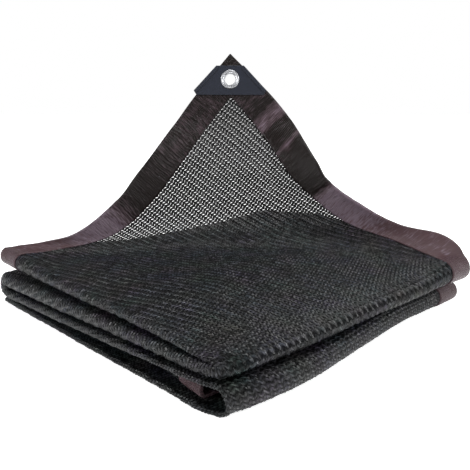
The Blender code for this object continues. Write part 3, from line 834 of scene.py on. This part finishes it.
def bindingTape(name, stations, place, table, over=0.0, shaded=(0.0, 0.0)):
    rows, maps, tonesAndSheen = [], [], []
    total = lastSpan if table is rightTape else 3
    for s in stations:
        width = min(tapeShare, max(min(s, total - s), 0.0) + over)
        profile = tapeProfile(width)
        level = profile[:, 1] * (1.0 + 60 * over)
        rows.append(place(np.full(len(profile), s), profile[:, 0], level))
        travelled = np.concatenate([[0], np.cumsum(np.hypot(np.diff(profile[:, 0]) * side, np.diff(profile[:, 1])))])
        maps.append(np.stack([travelled, np.full(len(profile), s * side)], axis=1))
        tone = shadedTone if shaded[0] <= s < shaded[1] else float(tapeTable(table, np.array(s), 3))
        tonesAndSheen.append(np.full(len(profile), tone))
    points = np.array(rows)
    points[..., 2] = np.maximum(points[..., 2], onFloor)
    piece = gridMesh(name, points, flatMap=np.array(maps))
    tone = piece.data.attributes.new("tone", "FLOAT", "POINT")
    tone.data.foreach_set("value", np.array(tonesAndSheen).ravel())
    piece.data.materials.append(tapeCloth)
    return piece


def finePlaces(stations, first, last, step):
    points = []
    for a, b in zip(stations[:-1], stations[1:]):
        if b > first and a < last:
            a, b = max(a, first), min(b, last)
            count = max(math.ceil((b - a) * side / step), 1)
            points += [a + (b - a) * i / count for i in range(count)]
    return np.array(points + [last])


tapeLook = dict(
    dark=(0.0062, 0.0042, 0.0038, 1), plum=(0.050, 0.034, 0.040, 1), pale=(0.108, 0.082, 0.102, 1),
    red=(0.051, 0.030, 0.033, 1), roughness=0.25, specular=0.13, creaseSheen=0.72,
    patch=70.0, creases=(90.0, 520.0, 1.0), weave=190.0, weaveBump=(0.40, 0.0003), creaseBump=(0.8, 0.0010),
)


def tapeMaterial(name, look):
    # dark where the tape is smooth, and plum, pale and red where its tone is higher: partly the tape's own colour,
    # partly painted sheen on its creases and where it turns
    material, tree = newMaterial(name)
    spot = addNode(tree, "ShaderNodeTexCoord").outputs["Object"]
    flat = addNode(tree, "ShaderNodeUVMap", uv_map="flat").outputs["UV"]
    tone = addNode(tree, "ShaderNodeAttribute", attribute_name="tone").outputs["Fac"]
    patch = noise(tree, spot, Scale=look["patch"], Detail=3.0)
    # the tone with its painted sheen, made uneven by noise
    uneven = maths(tree, "ADD", tone, maths(tree, "MULTIPLY_ADD", patch, 0.30, -0.15))
    drawnOut = addNode(tree, "ShaderNodeMapping", {"Vector": flat, "Scale": look["creases"]}).outputs["Vector"]
    crease = noise(tree, drawnOut, Scale=1.0, Detail=4.0)
    # painted highlight: the tape is coloured lighter where its crease noise, which also bumps it, stands high
    withCreaseSheen = maths(tree, "MULTIPLY_ADD", crease, look["creaseSheen"], uneven)
    color = colorRamp(
        tree, maths(tree, "SUBTRACT", withCreaseSheen, look["creaseSheen"] / 2),
        (0.12, look["dark"]), (0.38, look["plum"]), (0.56, look["pale"]), (0.80, look["red"]),
    )
    # woven: fine ribs along the tape, under the creases
    weave = {"Vector": flat, "Scale": look["weave"], "Distortion": 1.2, "Detail": 1.0}
    ribs = addNode(tree, "ShaderNodeTexWave", weave, wave_type="BANDS", bands_direction="X").outputs["Fac"]
    woven = bumped(tree, ribs, *look["weaveBump"])
    return finished(material, color, look, bumped(tree, crease, *look["creaseBump"], Normal=woven))


tapeCloth = tapeMaterial("tapeCloth", tapeLook)


def onLeaf(level):
    # which way a leaf of the tape faces; its border and its bend stay plain
    return np.sign(level) * (np.abs(level) > 0.9 * packet["tapeLevel"])


def sidePlace(innerSheet):
    def place(s, inward, level):
        across = 3 - inward if innerSheet else inward
        ridgeDepth, foldDepth = (tapeTable(rightTape, s, column) * (0.5 if innerSheet else 1.0) for column in (1, 2))
        depth = crinkleField(s, inward, ridgeDepth, foldDepth)
        lowest = (s > bottomSpan - 0.1) & (s < bottomSpan + 1.1)
        return clothAt(s, across, level + np.where(lowest, 0.0, depth * onLeaf(level)))
    return place


def endPlace(atStart):
    def place(s, inward, level):
        along = inward if atStart else lastSpan - inward
        ridgeDepth = tapeTable(leftTape, s, 1) if atStart else tape["tuckedRidge"]
        depth = crinkleField(s + tape["endStart"], inward, ridgeDepth, tapeTable(leftTape, s, 2))
        return clothAt(along, s, level + depth * onLeaf(level))
    return place


def tapeStations(stations):
    total = stations[-1]
    fine = finePlaces(stations, tape["gap"], 1.0, tape["stepLifted"])
    coarse = finePlaces(stations, 1.0, total - tape["gap"], tape["stepPacket"])
    return np.concatenate([fine, coarse[1:]])


def plainStations(stations):
    return finePlaces(stations, tape["plainGap"], stations[-1] - tape["plainGap"], tape["stepPacket"])


tapes = [
    bindingTape("bindingSideOuter", tapeStations(alongs), sidePlace(False), rightTape, over=tape["overlap"]),
    bindingTape("bindingSideInner", plainStations(alongs), sidePlace(True), rightTape, shaded=(0.0, 1.0)),
    bindingTape("bindingEndLifted", tapeStations(acrosses), endPlace(True), leftTape, shaded=(1.9, 3.0)),
    bindingTape("bindingEndTucked", plainStations(acrosses), endPlace(False), leftTape),
]

# The corner clip and its grommet stand on the tip of the lifted corner: right, down from the tip, out of the face
tip = Vector((-0.0062, 0.0905, 0.2610))
tipRight = Vector((1, 0, 0))
tipUp = Vector((0, 0.0995, 0.99504))
tipOut = Vector((0, -0.99504, 0.0995))
onTip = Matrix.Translation(tip) @ Matrix((tipRight, -tipUp, tipOut)).transposed().to_4x4()
clip = dict(
    top=0.0134, widest=0.0405, bottom=0.0455, topWidth=0.031, width=0.082, bottomWidth=0.076,
    seat=0.0018, plate=0.0022, round=0.0004, rimWidth=0.0034, rimHeight=0.0012, rimInset=0.0006,
)
grommet = dict(drop=0.0284, bore=0.0070, clear=0.0084, segments=56, depth=0.01)


def punched(piece):
    # the eyelet goes through the tape, and through the net that is caught in it
    centre = tip - tipUp * grommet["drop"]
    mesh = bmesh.new()
    mesh.from_mesh(piece.data)
    gone = []
    for face in mesh.faces:
        away = face.calc_center_median() - centre
        out = away.dot(tipOut)
        if (away - tipOut * out).length < grommet["clear"] and abs(out) < grommet["depth"]:
            gone.append(face)
    bmesh.ops.delete(mesh, geom=gone, context="FACES")
    mesh.to_mesh(piece.data)
    mesh.free()


punched(knitPieces[0])
for piece in tapes:
    punched(piece)
    print(piece.name, len(piece.data.polygons), "faces")


def onTheTip(name, meshes, facing, material):
    # the parts as one piece, on one side of the lifted corner's tip
    joined = bmesh.new()
    for mesh in meshes:
        joined.from_mesh(mesh)
        bpy.data.meshes.remove(mesh)
    bmesh.ops.remove_doubles(joined, verts=joined.verts, dist=1e-6)
    for vertex in joined.verts:
        vertex.co.z *= facing
    bmesh.ops.transform(joined, matrix=onTip, verts=joined.verts)
    bmesh.ops.recalc_face_normals(joined, faces=joined.faces)
    mesh = bpy.data.meshes.new(name)
    joined.to_mesh(mesh)
    joined.free()
    mesh.materials.append(material)
    return placed(mesh)


def roundedPlate(name, outlines, level, thickness):
    # a flat plate with rounded edges, from closed outlines of (right, down); inner outlines are holes
    curve = bpy.data.curves.new(name, "CURVE")
    curve.dimensions = "2D"
    curve.fill_mode = "BOTH"
    curve.extrude = thickness / 2 - clip["round"]
    curve.bevel_depth = clip["round"]
    curve.bevel_resolution = 2
    curve.offset = -clip["round"]
    for outline in outlines:
        spline = curve.splines.new("POLY")
        spline.points.add(len(outline) - 1)
        for point, (x, y) in zip(spline.points, outline):
            point.co = (x, y, 0, 1)
        spline.use_cyclic_u = True
    mesh = flattened(placed(curve), name).data
    bpy.data.curves.remove(curve)
    mesh.transform(Matrix.Translation((0, 0, level + thickness / 2)))
    return mesh


def clipShell(name, facing):
    half = clip["topWidth"] / 2, clip["width"] / 2, clip["bottomWidth"] / 2
    down = clip["top"], clip["widest"], clip["bottom"]
    outline = [(x, y) for x, y in zip(half, down)] + [(-x, y) for x, y in zip(half[::-1], down[::-1])]
    hole = []
    for k in range(grommet["segments"]):
        angle = 2 * math.pi * k / grommet["segments"]
        hole.append((grommet["bore"] * math.cos(angle), grommet["drop"] + grommet["bore"] * math.sin(angle)))
    parts = [roundedPlate(name, [outline, hole], clip["seat"], clip["plate"])]
    run = Vector((half[1] - half[0], down[1] - down[0])).normalized()
    inward = Vector((-run.y, run.x))
    inset, width = clip["rimInset"], inward * clip["rimWidth"]
    start = Vector((half[0], down[0])) + run * inset + inward * inset
    finish = Vector((half[1], down[1])) - run * inset + inward * inset
    bar = [start, finish, finish + width, start + width]
    for mirror in (1, -1):
        corners = [(mirror * point.x, point.y) for point in bar]
        top = clip["seat"] + clip["plate"] - 2 * clip["round"]
        parts.append(roundedPlate(name, [corners], top, clip["rimHeight"] + 2 * clip["round"]))
    return onTheTip(name, parts, facing, clipPlastic)


def turnedRing(name, profile, facing):
    # a closed profile of (radius, level) in mm, turned round the eyelet's middle
    count = grommet["segments"]
    angles = np.linspace(0, 2 * math.pi, count, endpoint=False)
    radius, level = np.array(profile).T * mm
    points = np.stack([
        radius[:, None] * np.cos(angles),
        grommet["drop"] + radius[:, None] * np.sin(angles),
        np.broadcast_to(level[:, None], (len(radius), count)),
    ], axis=-1)
    ring = gridMesh(name, np.concatenate([points, points[:1]]), closed=True)
    return onTheTip(name, [ring.data], facing, grommetMetal)


def plainFinish(name, look):
    material, tree = newMaterial(name)
    spot = addNode(tree, "ShaderNodeTexCoord").outputs["Object"]
    normal = bumped(tree, noise(tree, spot, Scale=look["grain"], Detail=3.0), *look["bump"])
    return finished(material, look["color"], look, normal, Metallic=look["metallic"])


clipPlastic = plainFinish("clipPlastic", dict(
    color=(0.0084, 0.0104, 0.0178, 1), metallic=0.0, roughness=0.33, specular=0.30, grain=1400.0, bump=(0.12, 0.0002),
))
grommetMetal = plainFinish("grommetMetal", dict(
    color=(0.33, 0.335, 0.35, 1), metallic=1.0, roughness=0.36, specular=0.5, grain=500.0, bump=(0.03, 0.0002),
))
eyeletProfile = (
    (6.10, -4.2), (6.10, 4.45), (6.25, 4.85), (6.65, 5.15), (7.15, 5.05), (7.55, 4.60), (8.00, 4.50),
    (8.35, 4.86), (9.00, 5.14), (9.70, 5.08), (10.20, 4.80), (10.45, 4.40), (10.40, 4.25),
    (6.70, 4.20), (6.70, -4.2),
)
washerProfile = (
    (6.20, 4.05), (6.20, 4.60), (6.60, 4.95), (7.20, 4.90), (8.00, 4.60), (8.60, 4.66), (9.60, 4.85),
    (10.60, 4.62), (11.00, 4.30), (10.95, 4.10), (8.00, 4.02),
)
clipFront = clipShell("clipFrontShell", 1)
clipBack = clipShell("clipBackShell", -1)
eyelet = turnedRing("eyeletRing", eyeletProfile, 1)
washer = turnedRing("washerRing", washerProfile, -1)

for cell in (openCell, layCell):
    bpy.data.objects.remove(cell, do_unlink=True)

# Floor, light and camera
studio = dict(
    floorSize=6.0, floorColor=(0.93, 0.93, 0.93, 1), floorGlow=0.66,
    bandHeight=0.12, bandBlend=0.25, bandStrength=1.0, overheadStrength=0.30,
)
bpy.ops.mesh.primitive_plane_add(size=studio["floorSize"], location=(0, 0, 0))
floor = bpy.context.object
floor.name = "floor"
floorPaper, tree = newMaterial("floorPaper")
setInputs(tree, tree.nodes["Principled BSDF"], {
    "Base Color": studio["floorColor"], "Roughness": 0.9,
    "Emission Color": (1, 1, 1, 1), "Emission Strength": studio["floorGlow"],
})
floor.data.materials.append(floorPaper)

# the studio is white round the horizon and dimmer overhead, so that the lamps model the folds
world = bpy.data.worlds.new("studio")
bpy.context.scene.world = world
world.use_nodes = True
tree = world.node_tree
direction = addNode(tree, "ShaderNodeTexCoord").outputs["Generated"]
overhead = addNode(tree, "ShaderNodeMapRange", {
    "Value": addNode(tree, "ShaderNodeSeparateXYZ", {0: direction}).outputs[2],
    "From Min": studio["bandHeight"], "From Max": studio["bandHeight"] + studio["bandBlend"],
    "To Min": studio["bandStrength"], "To Max": studio["overheadStrength"],
}).outputs["Result"]
setInputs(tree, tree.nodes["Background"], {"Color": (1, 1, 1, 1), "Strength": overhead})
bpy.context.scene.view_settings.view_transform = "Standard"

lamps = dict(
    # place, what it points at, size, power
    leftLight=((-1.15, -0.95, 0.75), (0, 0, 0.10), 0.45, 12),
    rightLight=((1.20, -0.85, 0.85), (0, 0, 0.10), 0.45, 15),
    topLight=((0.15, -0.10, 1.70), (0, 0, 0.05), 1.0, 24),
)
for name, (place, target, size, power) in lamps.items():
    light = bpy.data.lights.new(name, "AREA")
    light.shape = "DISK"
    light.size = size
    light.energy = power
    lamp = placed(light)
    lamp.location = place
    lamp.rotation_euler = (Vector(target) - Vector(place)).to_track_quat("-Z", "Y").to_euler()

camera = dict(azimuth=271.673, elevation=14.278, distance=0.6873, focal=49.83, targetHeight=0.0743)
cameraData = bpy.data.cameras.new("camera")
cameraData.sensor_width = 36
cameraData.lens = camera["focal"]
cameraObject = placed(cameraData)
azimuth, elevation = math.radians(camera["azimuth"]), math.radians(camera["elevation"])
target = Vector((*packet["centreShift"], camera["targetHeight"]))
away = Vector((math.cos(elevation) * math.cos(azimuth), math.cos(elevation) * math.sin(azimuth), math.sin(elevation)))
cameraObject.location = target + away * camera["distance"]
cameraObject.rotation_euler = (-away).to_track_quat("-Z", "Y").to_euler()
bpy.context.scene.camera = cameraObject

# Every piece rides on the one body
replaced = dict(
    netSheet="net", bindingSideOuter="binding_side_outer", bindingSideInner="binding_side_inner",
    bindingEndLifted="binding_end_lifted", bindingEndTucked="binding_end_tucked",
    clipFrontShell="clip_front", clipBackShell="clip_back",
    eyeletRing="grommet_eyelet", washerRing="grommet_washer",
)
for piece in [netSheet, *knitPieces, *tapes, clipFront, clipBack, eyelet, washer]:
    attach(piece, "root")
    if piece.name in replaced:
        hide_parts(replaced[piece.name])
